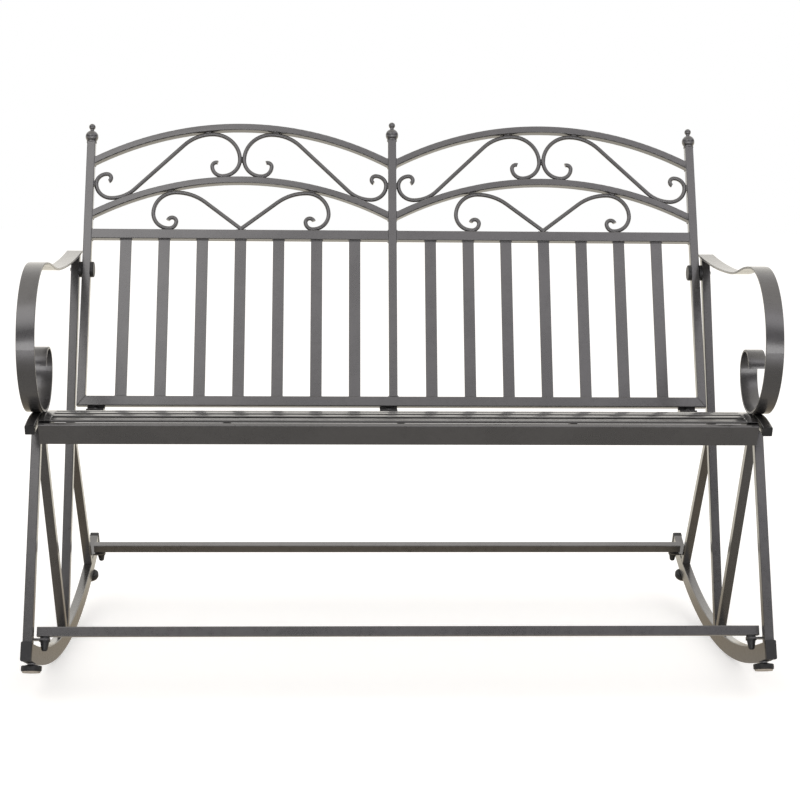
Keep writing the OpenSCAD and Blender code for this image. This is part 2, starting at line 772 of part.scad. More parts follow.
module seat_front_rail() {
    color(frame_grey) in_apron() translate([-seat_x, apron_t / 2, -apron_h / 2])
        rotate([90, 0, 90]) linear_extrude(2 * seat_x) section(apron_t, apron_h);
}

// Tube or bar that follows the seat's curve at a depth under its surface
module seat_path(x, d, end_y) {
    r = seat_r - d;
    front = asin((seat_front + 4) / seat_r);
    side_plane(x) translate(seat_c) rotate(90 + front) translate([r, 0])
        mirror([0, 1, 0]) mirror([1, 0, 0])
            path([[r, -front - seat_slope], [0, (end_y - slope_y) / cos(seat_slope)]], odd = 1) children();
}

module seat_side_rails() {
    color(frame_grey) for (side = [-1, 1]) difference() {
        seat_path(side * seat_rail_x, tube / 2, seat_end_y) section(tube, seat_rail_w);
        before_apron();
        side_plane(0) translate([0, 0, side * seat_rail_x]) seat_bolt_holes();
    }
}

module seat_rear_rail() {
    p = under_seat(rear_rail_mid, tube / 2);
    color(frame_grey) difference() {
        cross_tube(p, slat_x, seat_rail_w, tube, seat_slope);
        at_brackets() bracket_hole();
    }
}

function slat_y(i) = let (first = crest_y - seat_front + first_slat,
    last = seat_end_y - seat_rail_w - last_gap - seat_slat_w / 2)
    first + (last - first) * i / (seat_slats_n - 1);

module seat_slats() {
    color(frame_grey) for (i = [0 : seat_slats_n - 1]) {
        p = under_seat(slat_y(i), seat_slat_t / 2);
        translate([-slat_x, p[0], p[1]]) rotate([90, 0, 90]) linear_extrude(2 * slat_x)
            rotate(-seat_tilt(slat_y(i))) rounded(seat_slat_w, seat_slat_t, 1);
    }
}

module seat_supports() {
    color(frame_grey) for (x = [-slat_x / 2, 0, slat_x / 2]) difference() {
        seat_path(x, seat_slat_t + support_h / 2, seat_end_y - seat_rail_w * cos(seat_slope))
            section(support_h, support_w);
        before_apron();
    }
}

// Bolts across a side frame: head outside, shank, and what is on it
module bolt_x(from, to) {
    rotate([0, 90, 0]) {
        translate([0, 0, from]) cylinder(r = bolt_r, h = to - from + eps);
        translate([0, 0, to]) cylinder(d1 = head_d, d2 = head_d * 0.6, h = head_t);
    }
}

// Cap nut with its open face at x, pointing to the bench's middle
module cap_nut_x(x) {
    translate([x, 0, 0]) rotate([0, -90, 0]) difference() {
        union() {
            cylinder(d = nut_d, h = nut_t, $fn = 6);
            translate([0, 0, nut_t - eps]) cylinder(d1 = nut_d * 0.8, d2 = nut_d * 0.5, h = 3);
        }
        translate([0, 0, -1]) cylinder(r = bolt_r + 0.05, h = nut_t + 1);
    }
}

module ring_x(x, d, t) {
    translate([x, 0, 0]) difference() {
        rod_x(d / 2, t);
        translate([-1, 0, 0]) rod_x(hole_r, t + 2);
    }
}

module at_seat_bolts() {
    for (side = [-1, 1], d = [seat_bolt_a, seat_bolt_b]) on_side(side)
        translate([0, seat_bolt_at(d)[0], seat_bolt_at(d)[1]]) children();
}

module seat_bolts() {
    color(steel) at_seat_bolts() bolt_x(slat_x - nut_t + 1, frame_w / 2);
}

module seat_spacers() {
    color(black_part) at_seat_bolts() ring_x(seat_x, 14, seat_gap);
}

module seat_cap_nuts() {
    color(black_part) at_seat_bolts() cap_nut_x(slat_x);
}

// Stands what follows in the back's plane: X across, Z up along the posts
module back_plane() {
    translate([0, back_base[0], back_base[1]]) rotate([-back_lean, 0, 0]) children();
}

// Lays a flat path of the back's plane, drawn as X and height
module in_back(x = 0) {
    back_plane() translate([x, 0, 0]) rotate([90, 0, 0]) children();
}

// Corner of an outer post's foot that belongs to the bottom rail
module mitre(side) {
    on_side(side) translate([post_x - tube / 2, tube, 0]) rotate([90, 0, 0])
        linear_extrude(2 * tube) polygon([[-1, -1], [tube, 0], [0, rail_h], [-1, rail_h]]);
}

module post_hole() {
    rotate([0, 90, 0]) translate([0, 0, -tube]) cylinder(r = hole_r, h = 2 * tube);
}

module outer_post(side) {
    color(frame_grey) back_plane() difference() {
        translate([side * post_x, 0, 0]) linear_extrude(side_post_len) section(tube, tube);
        mitre(side);
        translate([side * post_x, 0, post_low_len]) post_hole();
    }
}

module centre_back_post() {
    color(frame_grey) back_plane() translate([0, 0, rail_h]) linear_extrude(post_len - rail_h)
        section(tube, tube);
}

module back_bottom_rail() {
    half = post_x + tube / 2;
    color(frame_grey) back_plane() difference() {
        translate([-half, 0, rail_h / 2]) rotate([90, 0, 90]) linear_extrude(2 * half)
            section(tube, rail_h);
        for (side = [-1, 1]) on_side(side) translate([half, tube, 0]) rotate([90, 0, 0])
            linear_extrude(2 * tube)
                polygon([[0, 0], [1, 0], [1, rail_h + 1], [-tube, rail_h + 1], [-tube, rail_h]]);
    }
}

module back_middle_rails() {
    color(frame_grey) back_plane() for (x = [-panel_x, panel_x])
        translate([x - panel_half, 0, mid_t + rail_h / 2]) rotate([90, 0, 90])
            linear_extrude(2 * panel_half) section(tube, rail_h);
}

module back_slats() {
    color(frame_grey) back_plane() for (x = [-panel_x, panel_x], i = [0 : panel_slats - 1])
        translate([x + (i - (panel_slats - 1) / 2) * slat_pitch, 0, rail_h])
            linear_extrude(mid_t - rail_h) rounded(slat_w, slat_t, 1);
}

// Arch between two posts, with its radius and centre height on top
module arch(x, r, c) {
    a = asin(panel_half / (r - arch_h)) + 0.5;
    color(frame_grey) intersection() {
        in_back(x) translate([0, c]) rotate(90 - a) rotate_extrude(angle = 2 * a, $fn = fine)
            translate([r - arch_h / 2, 0]) section(arch_h, tube);
        back_plane() translate([x - panel_half, -tube, 0]) cube([2 * panel_half, 2 * tube, 2 * post_len]);
    }
}

module rod_section() {
    circle(r = rod_r, $fn = 32);
}

// Two mirrored scrolls in each panel
module panel_pairs() {
    for (x = [-panel_x, panel_x], side = [-1, 1]) in_back(x) on_side(side) children();
}

// Tall scroll that touches the post, both arches and its twin; drawn for the left half
module upper_scrolls() {
    color(frame_grey) panel_pairs() {
        translate([up_foot, up_foot_t]) rotate(-90)
            path([[slope_low_r, slope_a], [0, slope_len], [slope_up_r, -slope_a], [loop_r, -90],
                [loop_low_r, -90], [loop_in_r, -90], [tip_r, -110]]) rod_section();
        translate([up_foot, up_foot_t]) rotate(90)
            path([[foot_r, -90], [curl_r, -90], [tip_r, -150]], odd = 1) rod_section();
    }
}

// Low scroll that starts in the V on the middle rail; drawn for the left half
module lower_scrolls() {
    lead = 2 * rod_d;
    color(frame_grey) panel_pairs() difference() {
        translate([0, low_start_t]) rotate(90 - low_slope_a) translate([0, -lead])
            path([[0, lead + low_slope_len], [low_slope_r, low_slope_a], [low_loop_r, 90],
                [low_foot_r, 90], [low_in_r, 90], [tip_r, 160]]) rod_section();
        translate([0, 0, -tube]) cube([far, 2 * far, 2 * tube]);
    }
}

// Ball finials on the three posts
module finials() {
    ball_z = ring_t + ball_d * 0.4;
    knob_z = ring_t + ball_d * 0.86 + knob_d * 0.7;
    color(frame_grey) back_plane() for (x = [-1, 0, 1])
        translate([x * post_x, 0, x == 0 ? post_len : side_post_len]) {
            cylinder(d = ring_d, h = ring_t);
            difference() {
                translate([0, 0, ball_z]) sphere(d = ball_d);
                translate([0, 0, -far + ring_t / 2]) cylinder(r = far, h = far);
            }
            translate([0, 0, ball_z]) cylinder(d = neck_d, h = knob_z - ball_z);
            translate([0, 0, knob_z]) sphere(d = knob_d);
        }
}

module at_brackets() {
    for (x = [-post_x + bracket_in, -bracket_mid, post_x - bracket_in]) translate([x, 0, 0]) children();
}

// Place on top of the seat's rear rail, square to the seat
module on_rear_rail() {
    translate([0, rear_rail_mid, seat_z(rear_rail_mid)]) rotate([-seat_slope, 0, 0]) children();
}

module at_bracket_bolt() {
    on_rear_rail() translate([0, -bracket_bolt_in, 0]) children();
}

module bracket_hole() {
    at_bracket_bolt() translate([0, 0, -far / 2]) cylinder(r = hole_r, h = far);
}

// Angle brackets welded behind the bottom rail and bolted to the seat's rear rail
module back_brackets() {
    lip = bracket_t + 9;
    color(frame_grey) at_brackets() difference() {
        union() {
            on_rear_rail() translate([-bracket_w / 2, -seat_rail_w / 2 - 4, 0])
                cube([bracket_w, seat_rail_w + 1, bracket_t]);
            back_plane() translate([-bracket_w / 2, tube / 2, -lip])
                cube([bracket_w, bracket_t, bracket_h + lip]);
        }
        on_rear_rail() translate([-bracket_w, -far / 2, -far]) cube([2 * bracket_w, far, far]);
        bracket_hole();
    }
}

module bracket_bolts() {
    under = tube + nut_t + 2;
    color(steel) at_brackets() at_bracket_bolt() {
        translate([0, 0, bracket_t]) cylinder(d1 = head_d, d2 = head_d * 0.7, h = head_t);
        translate([0, 0, -under]) cylinder(r = bolt_r, h = under + bracket_t + eps);
    }
}

module nut() {
    difference() {
        cylinder(d = nut_d, h = nut_t, $fn = 6);
        translate([0, 0, -1]) cylinder(r = bolt_r + 0.05, h = nut_t + 2);
    }
}

module bracket_nuts() {
    color(steel) at_brackets() at_bracket_bolt() translate([0, 0, -tube - nut_t]) nut();
}

module at_back_bolts() {
    for (side = [-1, 1]) on_side(side) translate([0, pivot_y, pivot_z]) children();
}

module back_bolts() {
    color(steel) at_back_bolts() bolt_x(post_x - tube / 2 - nut_t - 0.5, frame_w / 2);
}

// Nuts on those bolts, against the posts' inner faces
module back_nuts() {
    color(steel) at_back_bolts() translate([post_x - tube / 2, 0, 0]) rotate([0, -90, 0]) nut();
}

// Black disc between each rear leg and its post, and the closed cap over the nut
module back_discs() {
    r = disc_d / 2;
    rim = 2;
    color(black_part) at_back_bolts() {
        ring_x(inner_x - post_gap, disc_d, post_gap);
        translate([post_x - tube / 2, 0, 0]) rotate([0, -90, 0]) difference() {
            rotate_extrude() {
                square([r, nut_cap_t - rim]);
                square([r - rim, nut_cap_t]);
                translate([r - rim, nut_cap_t - rim]) circle(r = rim, $fn = 32);
            }
            translate([0, 0, -1]) cylinder(r = nut_d / 2 + 0.4, h = 1 + nut_cap_t - nut_cap_wall);
        }
    }
}

runner(-1);  // left_runner
runner(1);  // right_runner
runner_end_caps();
foot(-1, foot_angles()[0]);  // front_left_foot
foot(1, foot_angles()[0]);  // front_right_foot
foot(-1, foot_angles()[1]);  // rear_left_foot
foot(1, foot_angles()[1]);  // rear_right_foot
pad(-1, foot_angles()[0]);  // front_left_pad
pad(1, foot_angles()[0]);  // front_right_pad
pad(-1, foot_angles()[1]);  // rear_left_pad
pad(1, foot_angles()[1]);  // rear_right_pad
foot_inserts();
front_leg(-1);  // left_front_leg
front_leg(1);  // right_front_leg
front_brace(-1);  // left_front_brace
front_brace(1);  // right_front_brace
rear_leg(-1);  // left_rear_leg
rear_leg(1);  // right_rear_leg
rear_brace(-1);  // left_rear_brace
rear_brace(1);  // right_rear_brace
seat_bearer(-1);  // left_seat_bearer
seat_bearer(1);  // right_seat_bearer
bearer_end_caps();
armrest(-1);  // left_armrest
armrest(1);  // right_armrest
stretcher(front_stretcher_y);  // front_stretcher
stretcher(rear_stretcher_y);  // rear_stretcher
stretcher_tabs();
stretcher_spacers();
stretcher_bolts();
stretcher_inserts();
stretcher_bolt_caps();
seat_front_rail();
seat_rear_rail();
seat_side_rails();
seat_slats();
seat_supports();
seat_bolts();
seat_spacers();
seat_cap_nuts();
outer_post(-1);  // left_back_post
centre_back_post();
outer_post(1);  // right_back_post
back_bottom_rail();
back_middle_rails();
back_slats();
arch(-panel_x, low_arch_r, low_arch_c);  // left_lower_arch
arch(panel_x, low_arch_r, low_arch_c);  // right_lower_arch
arch(-panel_x, up_arch_r, up_arch_c);  // left_upper_arch
arch(panel_x, up_arch_r, up_arch_c);  // right_upper_arch
upper_scrolls();
lower_scrolls();
finials();
back_brackets();
bracket_bolts();
bracket_nuts();
back_bolts();
back_discs();
back_nuts();
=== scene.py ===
"""Looks of a two-seat garden rocking bench: pewter powder coat, welds, black plastic, and its studio."""
import json
import math

import bmesh
import bpy
from bpy.props import FloatProperty, FloatVectorProperty, PointerProperty
from mathutils import Matrix, Vector


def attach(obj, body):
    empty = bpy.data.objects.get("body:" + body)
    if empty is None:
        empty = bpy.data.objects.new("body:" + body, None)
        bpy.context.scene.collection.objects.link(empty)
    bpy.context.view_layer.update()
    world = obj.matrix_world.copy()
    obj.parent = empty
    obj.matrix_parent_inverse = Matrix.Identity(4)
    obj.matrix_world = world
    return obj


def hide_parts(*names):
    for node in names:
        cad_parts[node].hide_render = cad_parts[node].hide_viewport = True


bl_info = {
    "name": "Rocking Bench Looks",
    "version": (1, 0, 0),
    "blender": (4, 5, 0),
    "location": "View3D > Sidebar > Bench",
    "description": "Finishes the rocking bench in powder coat and plastic, adds its welds, and lights it",
    "category": "Object",
}

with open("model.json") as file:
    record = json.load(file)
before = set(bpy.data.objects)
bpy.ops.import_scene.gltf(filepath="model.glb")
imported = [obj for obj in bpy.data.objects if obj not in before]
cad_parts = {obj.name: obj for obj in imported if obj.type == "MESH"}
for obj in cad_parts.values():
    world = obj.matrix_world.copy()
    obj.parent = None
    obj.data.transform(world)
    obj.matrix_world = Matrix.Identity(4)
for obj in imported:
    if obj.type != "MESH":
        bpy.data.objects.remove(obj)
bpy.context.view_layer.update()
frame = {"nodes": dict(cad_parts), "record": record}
NODES = frame["nodes"]
SLOTS = {row["node"]: row["material_slot"] for row in frame["record"]["subparts"]}
BODIES = {node: body for body, nodes in frame["record"]["behaviour"]["bodies"].items() for node in nodes}
MAIN_BODY = "frame"
PHOTO_SIDE = 800.0
MM = 0.001
WHITE = (1.0, 1.0, 1.0, 1.0)


# Settings


class BenchCoatSettings(bpy.types.PropertyGroup):
    """Colours and grain of the finishes."""

    coat_color: FloatVectorProperty(
        name="Coat Colour", description="Colour of the powder coat", subtype="COLOR", size=3,
        min=0.0, max=1.0, default=(0.137, 0.134, 0.134))
    coat_metallic: FloatProperty(
        name="Coat Metallic", description="Share of metal flake in the powder coat", subtype="FACTOR",
        min=0.0, max=1.0, default=0.85)
    coat_roughness: FloatProperty(
        name="Coat Roughness", description="Roughness of the flake layer", subtype="FACTOR",
        min=0.0, max=1.0, default=0.29)
    coat_gloss: FloatProperty(
        name="Clear Layer", description="Strength of the clear layer over the flakes", subtype="FACTOR",
        min=0.0, max=1.0, default=0.8)
    coat_grain: FloatProperty(
        name="Coat Grain", description="Size of the powder coat's orange peel",
        subtype="DISTANCE", unit="LENGTH", min=0.0005, max=0.005, default=0.0016)
    plastic_color: FloatVectorProperty(
        name="Plastic Colour", description="Colour of the moulded caps and feet", subtype="COLOR", size=3,
        min=0.0, max=1.0, default=(0.016, 0.016, 0.017))
    pad_color: FloatVectorProperty(
        name="Pad Colour", description="Colour of the pads under the feet", subtype="COLOR", size=3,
        min=0.0, max=1.0, default=(0.42, 0.37, 0.31))
    zinc_color: FloatVectorProperty(
        name="Zinc Colour", description="Colour of the plated bolts", subtype="COLOR", size=3,
        min=0.0, max=1.0, default=(0.42, 0.42, 0.43))


class BenchPieceSettings(bpy.types.PropertyGroup):
    """Shading and weld beads."""

    smooth_angle: FloatProperty(
        name="Smooth Angle", description="Edges flatter than this are shaded smooth", subtype="ANGLE",
        min=0.1, max=1.5, default=math.radians(35))
    bead_radius: FloatProperty(
        name="Bead Radius", description="Half the width of a weld bead", subtype="DISTANCE", unit="LENGTH",
        min=0.0003, max=0.003, default=0.0015)
    bead_ripple: FloatProperty(
        name="Bead Ripple", description="How much a bead swells and narrows", subtype="FACTOR",
        min=0.0, max=0.6, default=0.28)
    bead_step: FloatProperty(
        name="Bead Step", description="Distance between the rings of a bead",
        subtype="DISTANCE", unit="LENGTH", min=0.0004, max=0.004, default=0.001)


class BenchStageSettings(bpy.types.PropertyGroup):
    """Camera and studio light."""

    camera_place: FloatVectorProperty(
        name="Camera Place", description="Where the camera stands", size=3,
        subtype="TRANSLATION", unit="LENGTH", default=(-0.1055, -3.0945, 0.8383))
    camera_yaw: FloatProperty(
        name="Camera Yaw", description="Turn of the camera to the right", subtype="ANGLE", default=0.0370)
    camera_pitch: FloatProperty(
        name="Camera Pitch", description="Tilt of the camera downwards", subtype="ANGLE", default=0.1237)
    camera_roll: FloatProperty(
        name="Camera Roll", description="Roll of the camera", subtype="ANGLE", default=0.0076)
    camera_focus: FloatProperty(
        name="Camera Focus", description="Focal length in pixels of the photograph's frame",
        min=500.0, max=5000.0, default=1700.0)
    lamp_power: FloatProperty(
        name="Lamp Power", description="Power of the main lamp", subtype="POWER", unit="POWER",
        min=0.0, max=500.0, default=12.0)
    fill_light: FloatVectorProperty(
        name="Fill Light", description="Even light of the whole studio", subtype="COLOR", size=3,
        min=0.0, max=1.0, default=(0.86, 0.85, 0.85))
    front_light: FloatVectorProperty(
        name="Front Light", description="Light of the soft boxes above the camera", subtype="COLOR", size=3,
        min=0.0, max=1.0, default=(1.0, 0.99, 1.0))
    low_light: FloatVectorProperty(
        name="Low Light", description="Light from the studio's dim part behind the camera",
        subtype="COLOR", size=3, min=0.0, max=1.0, default=(0.16, 0.155, 0.16))
    ceiling_light: FloatVectorProperty(
        name="Ceiling Light", description="Light from the studio's ceiling", subtype="COLOR", size=3,
        min=0.0, max=1.0, default=(0.9, 0.87, 0.83))
    back_light: FloatVectorProperty(
        name="Back Light", description="Light from the white backdrop", subtype="COLOR", size=3,
        min=0.0, max=1.0, default=(1.0, 0.97, 0.91))
    far_floor: FloatVectorProperty(
        name="Far Floor", description="Lit floor round the camera, as the metal reflects it",
        subtype="COLOR", size=3, min=0.0, max=1.0, default=(1.0, 0.98, 1.0))
    # Painted shade: the mirrored floor in front of the bench glows darker, standing in for its shade
    near_floor_painted_shade: FloatVectorProperty(
        name="Near Floor", description="Floor in front of the bench, as the metal reflects it",
        subtype="COLOR", size=3, min=0.0, max=1.0, default=(0.38, 0.365, 0.345))
    # Painted shadow: the mirrored floor under the bench glows darker and browner, standing in for the bench's
    # shadow
    under_floor_painted_shadow: FloatVectorProperty(
        name="Under Floor", description="Floor under the bench, as the metal reflects it",
        subtype="COLOR", size=3, min=0.0, max=1.0, default=(0.38, 0.325, 0.25))
    back_floor: FloatVectorProperty(
        name="Back Floor", description="Floor under the backdrop, as the metal reflects it",
        subtype="COLOR", size=3, min=0.0, max=1.0, default=(1.0, 0.94, 0.81))


def settings(name):
    """Values of one group of settings."""
    return getattr(bpy.context.scene, name)


# Shader maths


class Signal:
    """A shader socket that adds Math nodes when it is used in an expression."""

    def __init__(self, graph, socket):
        self.graph = graph
        self.socket = socket

    def math(self, operation, *others, clamp=False):
        values = {0: self}
        values.update({i + 1: other for i, other in enumerate(others)})
        return self.graph.node("ShaderNodeMath", {"operation": operation, "use_clamp": clamp}, values)

    def __add__(self, other):
        return self.math("ADD", other)

    __radd__ = __add__

    def __mul__(self, other):
        return self.math("MULTIPLY", other)

    __rmul__ = __mul__

    def __sub__(self, other):
        return self.math("SUBTRACT", other)

    def __rsub__(self, other):
        return self.graph.node("ShaderNodeMath", {"operation": "SUBTRACT"}, {0: other, 1: self})

    def clamped(self):
        return self.math("ADD", 0.0, clamp=True)

    def larger(self, other):
        return self.math("MAXIMUM", other)

    def swing(self, width):
        """Noise centred on zero, over a range of this width."""
        return (self - 0.5) * width

    def between(self, low, high):
        """0 at low, 1 at high, smooth between them."""
        return self.graph.node("ShaderNodeMapRange", {"interpolation_type": "SMOOTHSTEP"},
                               {"Value": self, "From Min": low, "From Max": high})


class Graph:
    """A shader tree whose nodes are added one by one."""

    def __init__(self, owner, output):
        owner.use_nodes = True
        self.tree = owner.node_tree
        self.tree.nodes.clear()
        self.output = self.tree.nodes.new(output)

    def node(self, kind, options=None, values=None, output=0):
        made = self.tree.nodes.new(kind)
        for key, value in (options or {}).items():
            setattr(made, key, value)
        for key, value in (values or {}).items():
            if isinstance(value, Signal):
                self.tree.links.new(value.socket, made.inputs[key])
            else:
                made.inputs[key].default_value = value
        return Signal(self, made.outputs[output])

    def place(self, output="Object"):
        return self.node("ShaderNodeTexCoord", output=output)

    def axes(self, vector):
        """The three numbers of a vector."""
        made = self.node("ShaderNodeSeparateXYZ", {}, {0: vector}).socket.node
        return tuple(Signal(self, socket) for socket in made.outputs)

    def noise(self, scale, detail=2.0, roughness=0.5):
        return self.node("ShaderNodeTexNoise", {}, {
            "Vector": self.place(), "Scale": scale, "Detail": detail, "Roughness": roughness})

    def mix(self, factor, first, second):
        """Colour between first and second."""
        return self.node("ShaderNodeMix", {"data_type": "RGBA"}, {0: factor, 6: first, 7: second}, 2)

    def blend(self, factor, first, second):
        """Shader between first and second."""
        return self.node("ShaderNodeMixShader", {}, {0: factor, 1: first, 2: second})

    def bump(self, height, depth, strength):
        return self.node("ShaderNodeBump", {}, {"Height": height, "Distance": depth, "Strength": strength})

    def light_path(self, output):
        return self.node("ShaderNodeLightPath", output=output)

    def mirror_ray(self):
        """1 on the rays that show what metal or glass reflects or lets through."""
        return self.light_path("Is Glossy Ray").larger(self.light_path("Is Transmission Ray"))

    def end(self, shader):
        self.tree.links.new(shader.socket, self.output.inputs["Surface"])


class Finish(Graph):
    """A material."""

    def __init__(self, name):
        self.material = bpy.data.materials.new(name)
        super().__init__(self.material, "ShaderNodeOutputMaterial")

    def surface(self, **values):
        """Ends in a surface whose sockets get these values, such as Base_Color."""
        sockets = {key.replace("_", " "): value for key, value in values.items()}
        self.end(self.node("ShaderNodeBsdfPrincipled", {}, sockets))
        return self.material


def rgba(color, gain=1.0):
    """A colour, lighter or darker by one gain."""
    return tuple(c * gain for c in color) + (1.0,)


def tint(color, gains):
    """A colour with a gain for each channel."""
    return tuple(c * gain for c, gain in zip(color, gains)) + (1.0,)


# Finishes: how often a grain or mark repeats in a metre

FLAKES, CLOUDS, STREAKS = 2600.0, 9.0, 70.0
PLASTIC_GRAIN, PLASTIC_WEAR = 1800.0, 60.0
PAD_FIBRE, PAD_STAIN = 900.0, 120.0
ZINC_SPANGLE, ZINC_GRAIN = 350.0, 2500.0

# Finishes: roughness, share of metal, and depth of the grain in metres

CLEAR_ROUGHNESS, PEEL_DEPTH = 0.14, 0.00003
PLASTIC_ROUGHNESS, PLASTIC_DEPTH = 0.40, 0.00004
PAD_ROUGHNESS, PAD_DEPTH = 0.82, 0.0002
ZINC_METALLIC, ZINC_ROUGHNESS, ZINC_DEPTH = 0.9, 0.38, 0.00003


def powder_coat():
    """Pewter powder coat: orange peel, fine metal flake and faint cloudiness."""
    look = settings("bench_coat")
    f = Finish("pewter_powder_coat")
    peel = f.noise(1.0 / look.coat_grain, roughness=0.45)
    flake = f.noise(FLAKES, detail=1.0)
    cloud = f.noise(CLOUDS, detail=3.0, roughness=0.6)
    streak = f.noise(STREAKS, detail=3.0, roughness=0.6)
    uneven = (cloud * 0.7 + streak * 0.3).between(0.38, 0.62)
    tone = f.mix(uneven, rgba(look.coat_color, 0.93), rgba(look.coat_color, 1.07))
    color = f.mix(flake.between(0.62, 0.74) * 0.3, tone, rgba(look.coat_color, 1.9))
    rough = look.coat_roughness + cloud.swing(0.08) + streak.swing(0.08) + flake.swing(0.10)
    return f.surface(Base_Color=color, Metallic=look.coat_metallic, Roughness=rough.clamped(),
                     Coat_Weight=look.coat_gloss, Coat_Roughness=CLEAR_ROUGHNESS,
                     Normal=f.bump(peel + flake * 0.2, PEEL_DEPTH, 0.35))


def moulded_plastic():
    """Black moulded plastic with a fine grain."""
    look = settings("bench_coat")
    f = Finish("black_moulded_plastic")
    grain = f.noise(PLASTIC_GRAIN)
    wear = f.noise(PLASTIC_WEAR, detail=3.0, roughness=0.6)
    color = f.mix(wear.between(0.45, 0.75), rgba(look.plastic_color), rgba(look.plastic_color, 1.7))
    rough = PLASTIC_ROUGHNESS + grain.swing(0.2) + wear.swing(0.12)
    return f.surface(Base_Color=color, Roughness=rough.clamped(), Normal=f.bump(grain, PLASTIC_DEPTH, 0.6))


def pressed_pad():
    """Light grey-brown pressed pad."""
    look = settings("bench_coat")
    f = Finish("pressed_foot_pad")
    fibre = f.noise(PAD_FIBRE, detail=3.0, roughness=0.7)
    stain = f.noise(PAD_STAIN)
    mottle = (fibre * 0.6 + stain * 0.4).between(0.35, 0.65)
    color = f.mix(mottle, rgba(look.pad_color, 0.8), rgba(look.pad_color, 1.2))
    rough = PAD_ROUGHNESS + fibre.swing(0.2)
    return f.surface(Base_Color=color, Roughness=rough.clamped(), Normal=f.bump(fibre, PAD_DEPTH, 0.7))


def zinc_plate():
    """Dull zinc plating of the bolts and inserts."""
    look = settings("bench_coat")
    f = Finish("dull_zinc_plate")
    spangle = f.noise(ZINC_SPANGLE, roughness=0.6)
    fine = f.noise(ZINC_GRAIN, detail=1.0)
    color = f.mix(spangle.between(0.4, 0.65), rgba(look.zinc_color, 0.85), rgba(look.zinc_color, 1.12))
    rough = ZINC_ROUGHNESS + spangle.swing(0.25)
    return f.surface(Base_Color=color, Metallic=ZINC_METALLIC, Roughness=rough.clamped(),
                     Normal=f.bump(fine, ZINC_DEPTH, 0.5))


MAKERS = {
    "frame_paint": powder_coat,
    "black_plastic": moulded_plastic,
    "foot_pad": pressed_pad,
    "fixings": zinc_plate,
}
ENDINGS = {"frame_paint": "coated", "black_plastic": "moulded", "foot_pad": "pressed", "fixings": "plated"}
FINISHES = {}


def finish_for(slot):
    """Material of a slot, made the first time that it is wanted."""
    if slot not in FINISHES:
        FINISHES[slot] = MAKERS[slot]()
    return FINISHES[slot]


# Pieces

MERGE_DISTANCE = 1e-6
FLAT_FACE_WEIGHT = 80
FEET = ("front_left", "front_right", "rear_left", "rear_right")


def add_object(name, data):
    made = bpy.data.objects.new(name, data)
    bpy.context.scene.collection.objects.link(made)
    return made


def finished_solid(node):
    """Merged copy of a solid, shaded smooth where it is round, that stands for the solid."""
    angle = settings("bench_piece").smooth_angle
    slot = SLOTS[node]
    bm = bmesh.new()
    bm.from_mesh(NODES[node].data)
    bmesh.ops.remove_doubles(bm, verts=bm.verts, dist=MERGE_DISTANCE)
    for face in bm.faces:
        face.smooth = True
    for edge in bm.edges:
        edge.smooth = len(edge.link_faces) == 2 and edge.calc_face_angle(math.pi) < angle
    mesh = bpy.data.meshes.new(node + "_" + ENDINGS[slot])
    bm.to_mesh(mesh)
    bm.free()
    if not mesh.polygons:
        raise RuntimeError(node + " has no faces")
    mesh.materials.append(finish_for(slot))
    piece = add_object(mesh.name, mesh)
    even = piece.modifiers.new("flat_faces_stay_flat", "WEIGHTED_NORMAL")
    even.mode = "FACE_AREA"
    even.weight = FLAT_FACE_WEIGHT
    even.keep_sharp = True
    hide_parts(node)
    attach(piece, BODIES[node])


def finish_solids(*nodes):
    """Finishes every named solid, and stops if the frame lacks one."""
    missing = [node for node in nodes if node not in NODES]
    if missing:
        raise RuntimeError("the frame lacks " + ", ".join(missing))
    for node in nodes:
        finished_solid(node)
    return {"FINISHED"}


def both_sides(*names):
    return tuple(side + "_" + name for name in names for side in ("left", "right"))


class BENCH_OT_finish_runners(bpy.types.Operator):
    """Finish the curved runners and their end caps"""

    bl_idname = "bench.finish_runners"
    bl_label = "Runners"
    bl_options = {"REGISTER", "UNDO"}

    def execute(self, context):
        return finish_solids(*both_sides("runner"), "runner_end_caps", "foot_inserts")


class BENCH_OT_finish_legs(bpy.types.Operator):
    """Finish the legs, braces and seat bearers of the side frames"""

    bl_idname = "bench.finish_legs"
    bl_label = "Side Frames"
    bl_options = {"REGISTER", "UNDO"}

    def execute(self, context):
        return finish_solids(*both_sides("front_leg", "front_brace", "rear_leg", "rear_brace", "seat_bearer"),
                             "bearer_end_caps")


class BENCH_OT_finish_armrests(bpy.types.Operator):
    """Finish the scrolled armrests"""

    bl_idname = "bench.finish_armrests"
    bl_label = "Armrests"
    bl_options = {"REGISTER", "UNDO"}

    def execute(self, context):
        return finish_solids(*both_sides("armrest"))


class BENCH_OT_finish_stretchers(bpy.types.Operator):
    """Finish the stretchers with their tabs, spacers, bolts and caps"""

    bl_idname = "bench.finish_stretchers"
    bl_label = "Stretchers"
    bl_options = {"REGISTER", "UNDO"}

    def execute(self, context):
        return finish_solids("front_stretcher", "rear_stretcher", "stretcher_tabs", "stretcher_spacers",
                             "stretcher_bolts", "stretcher_inserts", "stretcher_bolt_caps")


class BENCH_OT_finish_seat(bpy.types.Operator):
    """Finish the slatted seat and its bolts"""

    bl_idname = "bench.finish_seat"
    bl_label = "Seat"
    bl_options = {"REGISTER", "UNDO"}

    def execute(self, context):
        return finish_solids("seat_front_rail", "seat_rear_rail", "seat_side_rails", "seat_slats",
                             "seat_supports", "seat_bolts", "seat_spacers", "seat_cap_nuts")


class BENCH_OT_finish_back(bpy.types.Operator):
    """Finish the back's posts, rails, slats and arches"""

    bl_idname = "bench.finish_back"
    bl_label = "Back"
    bl_options = {"REGISTER", "UNDO"}

    def execute(self, context):
        return finish_solids("left_back_post", "centre_back_post", "right_back_post", "back_bottom_rail",
                             "back_middle_rails", "back_slats", *both_sides("lower_arch", "upper_arch"),
                             "back_brackets", "bracket_bolts", "bracket_nuts", "back_bolts", "back_discs",
                             "back_nuts")


